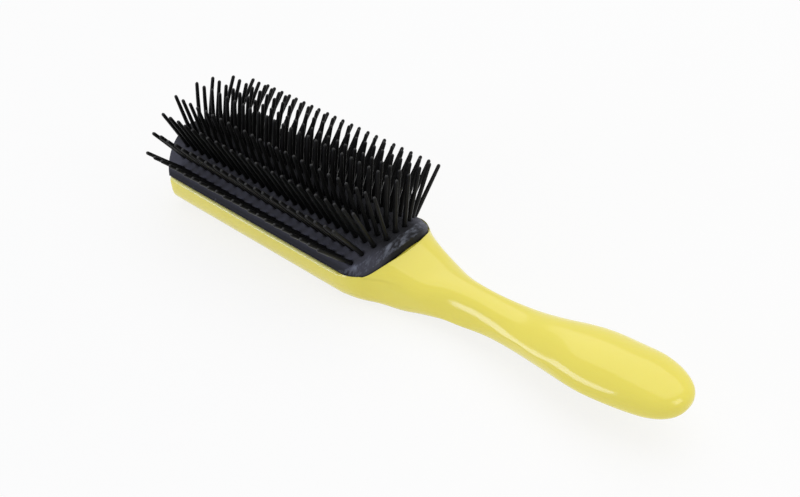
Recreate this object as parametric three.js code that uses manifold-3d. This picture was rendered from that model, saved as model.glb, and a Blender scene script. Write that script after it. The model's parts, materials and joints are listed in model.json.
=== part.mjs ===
// Hair styling brush: a one-piece handle, a rubber pad that slides onto its head
// and nine strips of pins that stand up through the pad.
// Millimetres. +X runs to the end of the handle, +Z up through the pins, and the
// brush lies on the flat of its back with the origin below its middle.
import * as THREE from 'three';
import { mergeVertices } from 'three/addons/utils/BufferGeometryUtils.js';
import Module from 'manifold-3d';

const wasm = await Module();
wasm.setup();

// Pins: rows run along X, counted from the -Y side
const PINS_IN_ROW = [22, 23, 24, 25, 25, 25, 24, 23, 22];
const PIN_PITCH = 4.3;
const PIN_REACH = 20.3;
const PIN_ROOT_DIAMETER = 1.7;
const PIN_TIP_DIAMETER = 1.2;
const PIN_POINT = 0.6;
const PIN_SIDES = 6;
const HOLE_CLEARANCE = 0.4;

// Strips that carry the pins, under the pad
const STRIP_THICKNESS = 1.8;
const STRIP_SPACING_GAP = 1.0;
const STRIP_END = 2.0;

// Rubber pad: an arch over the head, with feet that run in the head's channels
const PAD_RADIUS = 23.4;
const PAD_RISE = 10.7;
const PAD_WALL = 2.6;
const PAD_END_ROUND = 13.2;
const TIP_MARGIN = 7.2;
const END_MARGIN = 5.6;
const EDGE_MARGIN = 4.9;
const LEG_INSET = 1.5;
const LEG_WALL = 2.0;
const FOOT_WIDTH = 1.8;
const FOOT_THICKNESS = 2.0;

// Head of the handle
const HEAD_DEPTH = 13.9;
const RIM_LEDGE = 1.5;
const TIP_OVERHANG = 0.5;
const TIP_THINNING = 0.85;
const TIP_SQUARENESS = 2.4;
const CHANNEL_DEPTH = 7.0;
const LAND_CUT = 0.35;
const FIT_GAP = 0.3;

// Neck and grip: half widths, the levels of the underside, widest line and top, and how
// square the section is (2 is an ellipse)
const HANDLE_REACH = 110.0;
const TAIL_ROUND = 22.5;
const SHOULDER = { at: -2.8, half: 15.4, low: -0.35, wide: 12.8, high: 21.4, square: 3.6 };
const COLLAR = { at: 3.2, half: 13.0, low: -0.35, wide: 11.0, high: 19.2, square: 4.0 };
const THROAT = { at: 14.0, half: 10.5, low: 0.6, wide: 8.9, high: 16.6, square: 2.6 };
const WAIST = { at: 25.0, half: 8.4, low: 2.5, wide: 9.1, high: 15.5, square: 2.4 };
const NECK = { at: 40.0, half: 6.9, low: 3.75, wide: 10.05, high: 16.25, square: 2.4 };
const SWELL = { at: 61.0, half: 9.5, low: 5.35, wide: 12.65, high: 19.85, square: 2.4 };
const GRIP = { fromEnd: 30.5, half: 12.3, low: 7.25, wide: 14.85, high: 22.55, square: 2.4 };
const TAIL = { fromEnd: 12.5, half: 12.0, low: 9.0, wide: 16.4, high: 23.9, square: 2.4 };
const HEAD_SQUARENESS = 3.2;
const CROWN_SQUARENESS = 2.4;
const TAIL_SQUARENESS = 2.3;

// Facets
const RING_POINTS = 40;
const PLAN_SEGMENTS = 8;
const TIP_STEPS = 7;
const SHOULDER_STEP = 3.0;
const HANDLE_STEP = 7.5;
const TAIL_STEPS = 7;

// Places that follow from the sizes above
const ROWS = PINS_IN_ROW.length;
const PINS_LENGTH = (Math.max(...PINS_IN_ROW) - 1) * PIN_PITCH;
const PAD_LENGTH = TIP_MARGIN + PINS_LENGTH + END_MARGIN;
const OVERALL = PAD_LENGTH + HANDLE_REACH;
const PAD_TIP_X = -OVERALL / 2;
const PAD_END_X = PAD_TIP_X + PAD_LENGTH;
const PINS_MID_X = PAD_TIP_X + TIP_MARGIN + PINS_LENGTH / 2;
const HEAD_END_X = PAD_END_X - PAD_END_ROUND;
const LEG_END_X = HEAD_END_X + PAD_END_ROUND / 4;
const HANDLE_END_X = OVERALL / 2;
const RIM_Z = HEAD_DEPTH;
const AXIS_Z = RIM_Z + PAD_RISE - PAD_RADIUS;
const PAD_FOOT_Z = RIM_Z + FIT_GAP;
const PAD_HALF = Math.sqrt(PAD_RADIUS ** 2 - (PAD_FOOT_Z - AXIS_Z) ** 2);
const PAD_INNER_RADIUS = PAD_RADIUS - PAD_WALL;
const HEAD_HALF = PAD_HALF + RIM_LEDGE;
const RIM_ANGLE = Math.acos((PAD_FOOT_Z - AXIS_Z) / PAD_RADIUS);
const ROW_STEP = (RIM_ANGLE - EDGE_MARGIN / PAD_RADIUS) / ((ROWS - 1) / 2);
const STRIP_TOP_RADIUS = PAD_INNER_RADIUS - FIT_GAP;
const STRIP_BOTTOM_RADIUS = STRIP_TOP_RADIUS - STRIP_THICKNESS;
const STRIP_WIDTH = STRIP_BOTTOM_RADIUS * ROW_STEP - STRIP_SPACING_GAP;
const PIVOT_RADIUS = PAD_RADIUS - PAD_WALL / 2;
const DECK_RADIUS = STRIP_BOTTOM_RADIUS - FIT_GAP;
const DOME_RADIUS = PAD_INNER_RADIUS - FIT_GAP;
const DOME_TOP_Z = AXIS_Z + DOME_RADIUS;
const LEG_OUT = PAD_HALF - LEG_INSET;
const LEG_IN = LEG_OUT - LEG_WALL;
const FOOT_IN = LEG_IN - FOOT_WIDTH;
const CHANNEL_Z = RIM_Z - CHANNEL_DEPTH;
const FOOT_BOTTOM_Z = CHANNEL_Z + FIT_GAP;
const FOOT_TOP_Z = FOOT_BOTTOM_Z + FOOT_THICKNESS;
const HOLE_RADIUS = PIN_ROOT_DIAMETER / 2 + HOLE_CLEARANCE;
const FACET_HALF_ANGLE = Math.asin((HOLE_RADIUS + FIT_GAP / 2) / PAD_INNER_RADIUS);
const FAR = 2 * OVERALL;

const plastic = (color, roughness) => new THREE.MeshStandardMaterial({ color, roughness, metalness: 0 });
const yellowPlastic = () => plastic(0xe9df72, 0.22);
const blackRubber = () => plastic(0x35353b, 0.7);
const blackNylon = () => plastic(0x161617, 0.4);

// Closed solid from a three.js geometry, with shared corners merged
function solid(geometry) {
  const plain = new THREE.BufferGeometry();
  plain.setAttribute('position', geometry.getAttribute('position'));
  plain.setIndex(geometry.index);
  const merged = mergeVertices(plain, 1e-5);
  const corners = merged.index.array;
  const triVerts = [];
  for (let i = 0; i < corners.length; i += 3) {
    const [a, b, c] = corners.slice(i, i + 3);
    if (a !== b && b !== c && c !== a) triVerts.push(a, b, c);
  }
  const vertProperties = new Float32Array(merged.getAttribute('position').array);
  const mesh = new wasm.Mesh({ numProp: 3, vertProperties, triVerts: new Uint32Array(triVerts) });
  return new wasm.Manifold(mesh);
}

function meshOf(name, body, material) {
  const data = body.getMesh();
  const geometry = new THREE.BufferGeometry();
  geometry.setAttribute('position', new THREE.BufferAttribute(new Float32Array(data.vertProperties), 3));
  geometry.setIndex(new THREE.BufferAttribute(new Uint32Array(data.triVerts), 1));
  geometry.computeVertexNormals();
  const mesh = new THREE.Mesh(geometry, material);
  mesh.name = name;
  return mesh;
}

// Prism of an outline drawn in the Y-Z plane, from x0 to x1
function sectionPrism(points, x0, x1) {
  const shape = new THREE.Shape(points.map(([y, z]) => new THREE.Vector2(y, z)));
  const geometry = new THREE.ExtrudeGeometry(shape, { depth: x1 - x0, bevelEnabled: false });
  const turn = new THREE.Matrix4().makeBasis(
    new THREE.Vector3(0, 1, 0),
    new THREE.Vector3(0, 0, 1),
    new THREE.Vector3(1, 0, 0),
  );
  geometry.applyMatrix4(turn);
  geometry.translate(x0, 0, 0);
  return solid(geometry);
}

// Upright prism of a plan with elliptical ends; round0 or round1 of 0 leaves that end square
function planPrism(x0, x1, half, round0, round1) {
  const shape = new THREE.Shape();
  shape.moveTo(x0 + round0, -half);
  shape.lineTo(x1 - round1, -half);
  if (round1 > 0) shape.absellipse(x1 - round1, 0, round1, half, -Math.PI / 2, Math.PI / 2, false);
  else shape.lineTo(x1, half);
  shape.lineTo(x0 + round0, half);
  if (round0 > 0) shape.absellipse(x0 + round0, 0, round0, half, Math.PI / 2, 1.5 * Math.PI, false);
  const settings = { depth: FAR, bevelEnabled: false, curveSegments: PLAN_SEGMENTS };
  const geometry = new THREE.ExtrudeGeometry(shape, settings);
  geometry.translate(0, 0, -FAR / 2);
  return solid(geometry);
}

// Wide block from far below up to a level, between x0 and x1
const lowBlock = (top, x0, x1) => sectionPrism([[-FAR, -FAR], [FAR, -FAR], [FAR, top], [-FAR, top]], x0, x1);

const mirrored = (points) => points.map(([y, z]) => [-y, z]).reverse();

// Arc over the arch axis, with one flat facet centred on every row of pins
function archPoints(radius, endAngle) {
  const angles = [];
  for (let row = 0; row < ROWS; row += 1) {
    const middle = (row - (ROWS - 1) / 2) * ROW_STEP;
    angles.push(middle - FACET_HALF_ANGLE, middle + FACET_HALF_ANGLE);
  }
  const edge = angles[angles.length - 1];
  const between = (edge + endAngle) / 2;
  const all = [-endAngle, -between, ...angles, between, endAngle];
  return all.map((angle) => [radius * Math.sin(angle), AXIS_Z + radius * Math.cos(angle)]);
}

// Smooth value between stations along X, level at the first and last of them
function stationValue(stations, key, x) {
  const last = stations.length - 1;
  if (x <= stations[0].x) return stations[0][key];
  if (x >= stations[last].x) return stations[last][key];
  const i = stations.findIndex((s, k) => x >= s.x && x < stations[k + 1].x);
  const slope = (k) => {
    if (k === 0 || k === last) return 0;
    const before = (stations[k][key] - stations[k - 1][key]) / (stations[k].x - stations[k - 1].x);
    const after = (stations[k + 1][key] - stations[k][key]) / (stations[k + 1].x - stations[k].x);
    return before * after > 0 ? (2 * before * after) / (before + after) : 0;
  };
  const span = stations[i + 1].x - stations[i].x;
  const t = (x - stations[i].x) / span;
  const rise = stations[i + 1][key] - stations[i][key];
  const start = slope(i) * span;
  const end = slope(i + 1) * span;
  return stations[i][key] + t * (start + t * (3 * rise - 2 * start - end + t * (start + end - 2 * rise)));
}

// Skin over rings of points, closed by a fan at each end
function loft(rings) {
  const count = rings[0].length;
  const positions = rings.flat();
  const indices = [];
  for (let r = 0; r + 1 < rings.length; r += 1) {
    for (let k = 0; k < count; k += 1) {
      const a = r * count + k;
      const b = r * count + ((k + 1) % count);
      indices.push(a, b, b + count, a, b + count, a + count);
    }
  }
  const lastRing = (rings.length - 1) * count;
  for (let k = 1; k + 1 < count; k += 1) {
    indices.push(0, k + 1, k, lastRing, lastRing + k, lastRing + k + 1);
  }
  const geometry = new THREE.BufferGeometry();
  geometry.setAttribute('position', new THREE.Float32BufferAttribute(positions.flat(), 3));
  geometry.setIndex(indices);
  return solid(geometry);
}

// Outer form of the handle before the head is cut for the pad
function handleForm() {
  const levels = { low: -LAND_CUT, wide: RIM_Z, high: DOME_TOP_Z };
  const head = { half: HEAD_HALF, ...levels, square: HEAD_SQUARENESS };
  const corner = { ...head, half: HEAD_HALF - RIM_LEDGE / 2 };
  const stations = [
    { ...head, x: HEAD_END_X - RIM_LEDGE },
    { ...corner, x: LEG_END_X },
    ...[SHOULDER, COLLAR, THROAT, WAIST, NECK, SWELL].map((s) => ({ ...s, x: PAD_END_X + s.at })),
    ...[GRIP, TAIL].map((s) => ({ ...s, x: HANDLE_END_X - s.fromEnd })),
  ];

  const ring = (x, widthScale, depthScale, riseScale) => {
    const value = (key) => stationValue(stations, key, x);
    const power = 2 / value('square');
    const points = [];
    for (let k = 0; k < RING_POINTS; k += 1) {
      const angle = (2 * Math.PI * k) / RING_POINTS;
      const across = Math.sign(Math.cos(angle)) * Math.abs(Math.cos(angle)) ** power;
      const up = Math.sin(angle);
      const rise = (value('high') - value('wide')) * riseScale;
      const depth = (value('wide') - value('low')) * depthScale;
      const lift = up > 0 ? rise * up ** (2 / CROWN_SQUARENESS) : -depth * (-up) ** power;
      const z = value('wide') + lift;
      points.push([x, value('half') * widthScale * across, z]);
    }
    return points;
  };

  const rings = [];
  const tipRound = PAD_END_ROUND - TIP_OVERHANG;
  for (let step = 0; step < TIP_STEPS; step += 1) {
    const angle = ((step + 0.5) / TIP_STEPS) * (Math.PI / 2);
    const x = PAD_TIP_X + PAD_END_ROUND - tipRound * Math.cos(angle) ** (2 / TIP_SQUARENESS);
    const fullness = Math.sin(angle) ** (2 / TIP_SQUARENESS);
    rings.push(ring(x, fullness, TIP_THINNING + (1 - TIP_THINNING) * (1 - (1 - fullness) ** 3), 1));
  }
  const shoulderEndX = PAD_END_X + THROAT.at;
  const shoulderSteps = Math.ceil((shoulderEndX - HEAD_END_X) / SHOULDER_STEP);
  rings.push(ring(PAD_TIP_X + PAD_END_ROUND, 1, 1, 1));
  for (let step = 0; step < shoulderSteps; step += 1) {
    rings.push(ring(HEAD_END_X + ((shoulderEndX - HEAD_END_X) * step) / shoulderSteps, 1, 1, 1));
  }
  const tailX = HANDLE_END_X - TAIL_ROUND;
  const handleSteps = Math.ceil((tailX - shoulderEndX) / HANDLE_STEP);
  for (let step = 0; step < handleSteps; step += 1) {
    rings.push(ring(shoulderEndX + ((tailX - shoulderEndX) * step) / handleSteps, 1, 1, 1));
  }
  const lastAngle = (Math.PI / 2) * (TAIL_STEPS / (TAIL_STEPS + 0.5));
  for (let step = 0; step <= TAIL_STEPS; step += 1) {
    const along = Math.sin((step / TAIL_STEPS) * lastAngle);
    const fullness = (1 - along ** TAIL_SQUARENESS) ** (1 / TAIL_SQUARENESS);
    rings.push(ring(tailX + (TAIL_ROUND * along) / Math.sin(lastAngle), fullness, fullness, fullness));
  }
  return loft(rings);
}

// Raised deck that the strips lie on, overhanging a groove at each side for the pad's feet
function deckProfile() {
  const stemHalf = FOOT_IN - FIT_GAP;
  const deckHalf = LEG_IN - FIT_GAP;
  const flangeZ = FOOT_TOP_Z + FIT_GAP;
  const edgeAngle = Math.asin(deckHalf / DECK_RADIUS);
  const right = [
    [stemHalf, CHANNEL_Z - FIT_GAP],
    [stemHalf, flangeZ],
    [deckHalf, flangeZ],
  ];
  return [...right, ...archPoints(DECK_RADIUS, edgeAngle).reverse(), ...mirrored(right)];
}

function makeHandle() {
  const farX = PAD_TIP_X - PAD_LENGTH;
  const channelOut = LEG_OUT + FIT_GAP;
  const roomHalf = HEAD_HALF + PAD_RADIUS;
  const roomTop = RIM_Z + PAD_RADIUS;
  const room = [
    [channelOut, CHANNEL_Z],
    [channelOut, RIM_Z],
    [roomHalf, RIM_Z],
    [roomHalf, roomTop],
  ];
  const deckTipX = PAD_TIP_X + PAD_WALL + FIT_GAP;
  const deckPlan = planPrism(deckTipX, HANDLE_END_X, LEG_IN, PAD_END_ROUND - PAD_WALL, 0);
  const deckRoom = deckPlan.add(lowBlock(RIM_Z, farX, PAD_END_X));
  const deck = sectionPrism(deckProfile(), farX, PAD_END_X).intersect(deckRoom);
  const padPlan = planPrism(farX, PAD_END_X + FIT_GAP, PAD_HALF + FIT_GAP, 0, PAD_END_ROUND);
  const wings = planPrism(farX, HEAD_END_X, roomHalf, 0, 0);
  const channelStop = lowBlock(RIM_Z, LEG_END_X + FIT_GAP, FAR);
  const padRoom = sectionPrism([...room, ...mirrored(room)], farX, PAD_END_X + PAD_RADIUS)
    .intersect(padPlan.add(wings))
    .subtract(deck.add(channelStop));

  const domeEndX = PAD_END_X + COLLAR.at;
  const upperRoom = [[-roomHalf, RIM_Z], [roomHalf, RIM_Z], [roomHalf, roomTop], [-roomHalf, roomTop]];
  const above = sectionPrism(upperRoom, farX, domeEndX);
  const dome = sectionPrism(archPoints(DOME_RADIUS, RIM_ANGLE + EDGE_MARGIN / PAD_RADIUS), farX, domeEndX);
  const below = planPrism(farX, FAR, roomHalf, 0, 0).translate(0, 0, -FAR / 2);
  return handleForm().subtract(above.subtract(dome)).subtract(padRoom).subtract(below);
}

// One hexagonal hole for every pin, square to the arch
function pinHoles() {
  const holes = [];
  const height = PAD_WALL + 2 * FIT_GAP;
  PINS_IN_ROW.forEach((count, row) => {
    const angle = (row - (ROWS - 1) / 2) * ROW_STEP;
    for (let k = 0; k < count; k += 1) {
      const geometry = new THREE.CylinderGeometry(HOLE_RADIUS, HOLE_RADIUS, height, PIN_SIDES);
      geometry.rotateX(Math.PI / 2);
      geometry.translate(PINS_MID_X + (k - (count - 1) / 2) * PIN_PITCH, 0, PIVOT_RADIUS);
      geometry.rotateX(-angle);
      geometry.translate(0, 0, AXIS_Z);
      holes.push(solid(geometry));
    }
  });
  return wasm.Manifold.union(holes);
}

function makePad() {
  const outerArch = archPoints(PAD_RADIUS, RIM_ANGLE);
  const outerLeg = [
    [LEG_OUT, PAD_FOOT_Z],
    [LEG_OUT, FOOT_BOTTOM_Z],
  ];
  const padPlan = planPrism(PAD_TIP_X, PAD_END_X, PAD_HALF + FIT_GAP, PAD_END_ROUND, PAD_END_ROUND);
  const filled = sectionPrism([...outerArch, ...outerLeg, ...mirrored(outerLeg)], PAD_TIP_X, PAD_END_X);

  // The legs end with the head's own round tip and where the head starts to narrow
  const legRound = PAD_END_ROUND - TIP_OVERHANG;
  const legPlan = planPrism(PAD_TIP_X + TIP_OVERHANG, FAR, HEAD_HALF, legRound, 0);
  const pastTip = lowBlock(PAD_FOOT_Z, PAD_TIP_X - PAD_WALL, PINS_MID_X).subtract(legPlan);
  const pastHead = lowBlock(PAD_FOOT_Z, LEG_END_X, FAR);

  // The hollow is open at the handle's end and between the legs, and the tip wall closes it
  const innerLeg = [
    [LEG_IN, FOOT_TOP_Z],
    [FOOT_IN, FOOT_TOP_Z],
    [FOOT_IN, -PAD_RADIUS],
  ];
  const innerArch = archPoints(PAD_INNER_RADIUS, Math.asin(LEG_IN / PAD_INNER_RADIUS));
  const hollow = sectionPrism([...innerArch, ...innerLeg, ...mirrored(innerLeg)], PAD_TIP_X - PAD_WALL, FAR);
  const hollowPlan = planPrism(PAD_TIP_X + PAD_WALL, FAR, PAD_HALF - PAD_WALL, PAD_END_ROUND - PAD_WALL, 0);
  const hollowRoom = hollowPlan.add(lowBlock(PAD_FOOT_Z, PAD_TIP_X - PAD_LENGTH, FAR));
  return filled
    .intersect(padPlan)
    .subtract(pastTip)
    .subtract(pastHead)
    .subtract(hollow.intersect(hollowRoom))
    .subtract(pinHoles());
}

// Bar with its pins; local Z is the pins' direction and local Z 0 the line the row rocks about
function makeStrip(count) {
  const length = (count - 1) * PIN_PITCH + 2 * STRIP_END;
  const bar = new THREE.BoxGeometry(length, STRIP_WIDTH, STRIP_THICKNESS);
  bar.translate(0, 0, STRIP_BOTTOM_RADIUS + STRIP_THICKNESS / 2 - PIVOT_RADIUS);
  const rootZ = STRIP_BOTTOM_RADIUS + STRIP_THICKNESS / 2 - PIVOT_RADIUS;
  const height = PAD_RADIUS + PIN_REACH - PIVOT_RADIUS - rootZ;
  const profile = [
    new THREE.Vector2(0, 0),
    new THREE.Vector2(PIN_ROOT_DIAMETER / 2, 0),
    new THREE.Vector2(PIN_TIP_DIAMETER / 2, height - PIN_POINT),
    new THREE.Vector2(0, height),
  ];
  const pieces = [solid(bar)];
  for (let k = 0; k < count; k += 1) {
    const pin = new THREE.LatheGeometry(profile, PIN_SIDES);
    pin.rotateX(Math.PI / 2);
    pin.translate((k - (count - 1) / 2) * PIN_PITCH, 0, rootZ);
    pieces.push(solid(pin));
  }
  return wasm.Manifold.union(pieces);
}

const brush = new THREE.Group();
brush.add(meshOf('handle', makeHandle(), yellowPlastic()));
brush.add(meshOf('cushion_pad', makePad(), blackRubber()));

const rows = new THREE.Group();
rows.position.set(PINS_MID_X, 0, AXIS_Z);
PINS_IN_ROW.forEach((count, row) => {
  const angle = (row - (ROWS - 1) / 2) * ROW_STEP;
  const strip = meshOf(`pin_row_${row + 1}`, makeStrip(count), blackNylon());
  strip.position.set(0, PIVOT_RADIUS * Math.sin(angle), PIVOT_RADIUS * Math.cos(angle));
  strip.rotation.x = -angle;
  rows.add(strip);
});
brush.add(rows);

export default brush;
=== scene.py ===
"""Looks of a hair styling brush: handle, rubber pad, rows of pins and a plain studio."""
import json
import math
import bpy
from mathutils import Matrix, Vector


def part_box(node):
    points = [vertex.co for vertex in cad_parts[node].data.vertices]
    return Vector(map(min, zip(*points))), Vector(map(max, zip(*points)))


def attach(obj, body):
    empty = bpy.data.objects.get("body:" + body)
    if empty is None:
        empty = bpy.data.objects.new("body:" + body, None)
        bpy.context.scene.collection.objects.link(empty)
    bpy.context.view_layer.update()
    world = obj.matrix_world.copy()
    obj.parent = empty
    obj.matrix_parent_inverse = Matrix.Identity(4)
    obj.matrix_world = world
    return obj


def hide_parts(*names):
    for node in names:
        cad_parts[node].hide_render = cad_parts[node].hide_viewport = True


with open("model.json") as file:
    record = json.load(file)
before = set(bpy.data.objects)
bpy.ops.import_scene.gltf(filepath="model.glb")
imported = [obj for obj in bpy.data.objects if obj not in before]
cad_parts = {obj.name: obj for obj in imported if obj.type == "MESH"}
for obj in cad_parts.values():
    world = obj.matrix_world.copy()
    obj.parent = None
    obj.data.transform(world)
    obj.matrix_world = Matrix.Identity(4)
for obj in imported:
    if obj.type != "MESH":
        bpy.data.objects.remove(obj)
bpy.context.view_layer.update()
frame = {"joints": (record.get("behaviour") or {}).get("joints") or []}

from types import SimpleNamespace

import bmesh
import bpy
import numpy as np
from bpy.props import FloatProperty, FloatVectorProperty, PointerProperty
from bpy.types import Operator, Panel, PropertyGroup
from mathutils import Matrix

bl_info = {
    "name": "Hair styling brush",
    "version": (1, 0, 0),
    "blender": (4, 5, 0),
    "location": "View3D > Sidebar > Brush",
    "description": "Builds the handle, rubber pad, pin rows and studio of a hair styling brush",
    "category": "Object",
}

MM = 0.001

# Neck and grip, in millimetres: place along X from the pad's end, half width, underside,
# widest line, top, and squareness of the lower section (2 is an ellipse)
NECK_STATIONS = (
    (-2.8, 15.4, -0.35, 12.8, 21.4, 3.6),
    (3.2, 13.0, -0.35, 11.6, 19.2, 4.0),
    (14.0, 10.5, 0.8, 9.3, 16.6, 2.6),
    (25.0, 8.05, 3.5, 6.8, 16.8, 2.4),
    (40.0, 7.4, 3.9, 11.2, 17.0, 2.4),
    (50.0, 8.0, 3.9, 13.2, 17.9, 2.4),
    (61.0, 9.9, 5.0, 14.2, 20.1, 2.4),
)
# The same for the grip, with the place measured back from the end of the handle
GRIP_STATIONS = (
    (-30.5, 12.9, 8.4, 14.7, 22.8, 2.4),
    (-12.5, 12.1, 8.9, 17.0, 24.0, 2.4),
)
# Set of each row's pin tips from straight, in millimetres, from the -Y row to the +Y row
LEAN_ACROSS = (0.7, -0.3, -0.6, 0.0, 2.6, -0.8, -1.6, -1.4, 0.3)
LEAN_ALONG = (0.8, 0.3, 0.4, 0.2, 0.5, 1.5, 1.5, 0.6, -0.5)
# Extra set across of each row's first pin at the tip, dying away along the row
TIP_FAN = (0.0, 0.0, 0.0, 0.0, 0.0, 1.9, 2.8, 3.3, 0.6)
# Number of pins over which the fan dies away
FAN_FADE = 2.8
# Share of its lean that a row has lost at its last pins, along and across
LEAN_LOSS = (0.55, 0.2)
# Unevenness of the pin tips in millimetres, and its phase from pin to pin and row to row
WOBBLE_ALONG, WOBBLE_ACROSS = 0.12, 0.15
WOBBLE_BY_PIN, WOBBLE_BY_ROW = 2.4, 1.7
PIN_COUNTS = (22, 23, 24, 25, 25, 25, 24, 23, 22)
# Rubbed spots on the pad, in millimetres: x, y, half length along X, half width, strength
SCUFFS = (
    (0.4, -7.2, 0.7, 1.5, 1.0),
    (-6.8, -16.8, 0.8, 0.9, 0.9),
    (-3.6, -13.6, 0.5, 1.2, 0.5),
    (2.2, -1.5, 0.6, 2.2, 0.4),
    (-93.2, -19.2, 0.3, 0.9, 0.6),
    (-90.4, -19.2, 0.3, 0.9, 0.6),
    (-78.0, -19.0, 3.0, 0.7, 0.35),
)
# Squareness of the head's and pad's tip in plan: under 2, its corners are tight
PLAN_SQUARENESS = 1.55
# Edges that turn by more degrees than these stay sharp: on the handle, and on pad and pins
HARD_ANGLE, SOFT_ANGLE = 40, 50
# Points closer than the first, and edges shorter than the second, are merged, in metres
MERGE_DISTANCE, THIN_DISTANCE = 2e-6, 1e-6
# Scales that turn a coordinate in metres into a share of 50, 25 or 20 mm
PER_50_MM, PER_25_MM, PER_20_MM = 20.0, 40.0, 50.0

# Stage, in metres: the floor, how far it shows as plain white, and the light from all round
FLOOR_HALF, FLOOR_Z, FLOOR_WHITENESS = 3.0, -0.0001, 0.82
SOFT_LIGHT = 0.5
# Lamps: name, place, target, upright, size, watts and tint
LAMPS = (
    ("overhead", (-0.05, 0.28, 0.88), (0, 0, 0.02), (0, 1, 0), (1.45, 1.1), 5.3, (1, 1, 1)),
    ("low_box", (-0.634, -0.954, 0.205), (0.06, 0, 0.015), (0, 0, 1), (0.66, 0.36), 2.9,
     (0.92, 0.97, 1.35)),
    ("end_box", (0.714, 0.053, 0.461), (0.1, 0, 0.02), (0, 0, 1), (0.38, 0.28), 0.85, (1, 1, 1)),
)
# Camera fitted to the photograph: place, axes, and focal length in pixels of its width
CAMERA_PLACE = (0.22149, -0.21715, 0.27063)
CAMERA_RIGHT = (0.733606, 0.676459, -0.065002)
CAMERA_UP = (-0.391701, 0.499069, 0.772981)
CAMERA_BACK = (0.555330, -0.541603, 0.631090)
SENSOR_WIDTH, FOCAL_PIXELS, PHOTO_PIXELS = 36.0, 1169.8, 800


def arch_from_joints():
    """Arch of the rows: their hinge points lie on a circle about a line along X, so the half
    angle of the outermost row is 2 atan(drop / side), and radius and axis height follow."""
    hinges = {
        joint["child"]: np.array(joint["pos_m"]) / MM
        for joint in frame["joints"] if joint["type"] == "hinge"
    }
    points = np.array([hinges[f"row_{i + 1}"] for i in range(len(hinges))])
    outer, middle = points[0], points[len(points) // 2]
    half = 2 * math.atan2(middle[2] - outer[2], abs(outer[1]))
    radius = abs(outer[1]) / math.sin(half)
    axis_z = middle[2] - radius
    angles = np.arctan2(points[:, 1], points[:, 2] - axis_z)
    return SimpleNamespace(mid_x=middle[0], axis_z=axis_z, pivot=radius, angles=angles)


ARCH = arch_from_joints()


def length(name, description, millimetres):
    """A length property, stored in metres."""
    return FloatProperty(
        name=name, description=description, default=millimetres * MM, unit="LENGTH", precision=5
    )


def colour(name, description, value):
    """A colour property in linear light."""
    return FloatVectorProperty(
        name=name, description=description, default=value, size=3, min=0, max=1, subtype="COLOR"
    )


class BrushSizes(PropertyGroup):
    """Sizes of the brush."""

    pin_pitch: length("Pin pitch", "Distance between the pins of a row", 4.3)
    pin_reach: length("Pin reach", "Height of the pin tips above the pad", 20.3)
    pin_root: length("Pin root", "Diameter of a pin where it leaves the pad", 1.85)
    pin_tip: length("Pin tip", "Diameter of a pin below its rounded point", 1.35)
    strip_thickness: length("Strip thickness", "Thickness of the bar under a row of pins", 1.8)
    strip_gap: length("Strip gap", "Space between neighbouring bars", 1.0)
    strip_end: length("Strip end", "Length of the bar past its last pin", 2.0)
    pad_wall: length("Pad wall", "Thickness of the rubber", 2.6)
    pad_lip: length("Pad lip", "Thickness of the lip that closes the pad's end", 2.0)
    pad_end_round: length("Pad end round", "Length of the pad's rounded handle end", 13.2)
    pad_tip_round: length("Pad tip round", "Length of the pad's rounded tip", 9.0)
    tip_setback: length("Tip setback", "How far the head's corners lie behind the pad's", 1.5)
    pad_bevel_run: length("Pad bevel run", "Length of the slope at the pad's handle end", 2.6)
    pad_bevel_drop: length("Pad bevel drop", "Height of the slope at the pad's handle end", 1.45)
    pad_edge_round: length("Pad edge round", "Rounding of the pad's upper edge", 0.5)
    socket_radius: length("Socket radius", "Radius of the hole round each pin", 1.1)
    socket_depth: length("Socket depth", "Depth to which the hole shows", 0.5)
    leg_inset: length("Leg inset", "Distance of the pad's legs from its side", 1.5)
    leg_wall: length("Leg wall", "Thickness of the pad's legs", 2.0)
    foot_width: length("Foot width", "Reach of the pad's feet under the deck", 1.8)
    foot_thickness: length("Foot thickness", "Thickness of the pad's feet", 2.0)
    head_depth: length("Head depth", "Height of the head's rim above its back", 13.9)
    rim_ledge: length("Rim ledge", "Width of the rim beside the pad", 1.05)
    rim_round: length("Rim round", "Rounding of the rim's outer edge", 0.9)
    tip_overhang: length("Tip overhang", "How far the pad reaches past the head's tip", 0.9)
    channel_depth: length("Channel depth", "Depth of the grooves for the pad's legs", 7.0)
    land_cut: length("Land cut", "How far the rounded back would reach below its flat", 0.35)
    end_gap: length("End gap", "Space between the pad's end and the shoulder", 0.7)
    fit_gap: length("Fit gap", "Clearance between pieces", 0.3)
    tail_round: length("Tail round", "Length of the rounded end of the handle", 22.5)


class BrushColours(PropertyGroup):
    """Colours of the brush and its stage."""

    plastic: colour("Plastic", "Pale yellow of the handle", (0.855, 0.745, 0.103))
    # A painted highlight: the pale line along the rounded edge of the head's rim
    edge: colour("Edge", "Pale edge of the head's rim", (0.90, 0.88, 0.36))
    rubber: colour("Rubber", "Charcoal of the pad", (0.0145, 0.0148, 0.0188))
    scuff: colour("Scuff", "Grey of the rubbed places on the pad", (0.175, 0.19, 0.235))
    nylon: colour("Nylon", "Black of the pins", (0.004, 0.004, 0.004))
    floor: colour("Floor", "Pale floor", (0.90, 0.90, 0.90))


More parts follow.
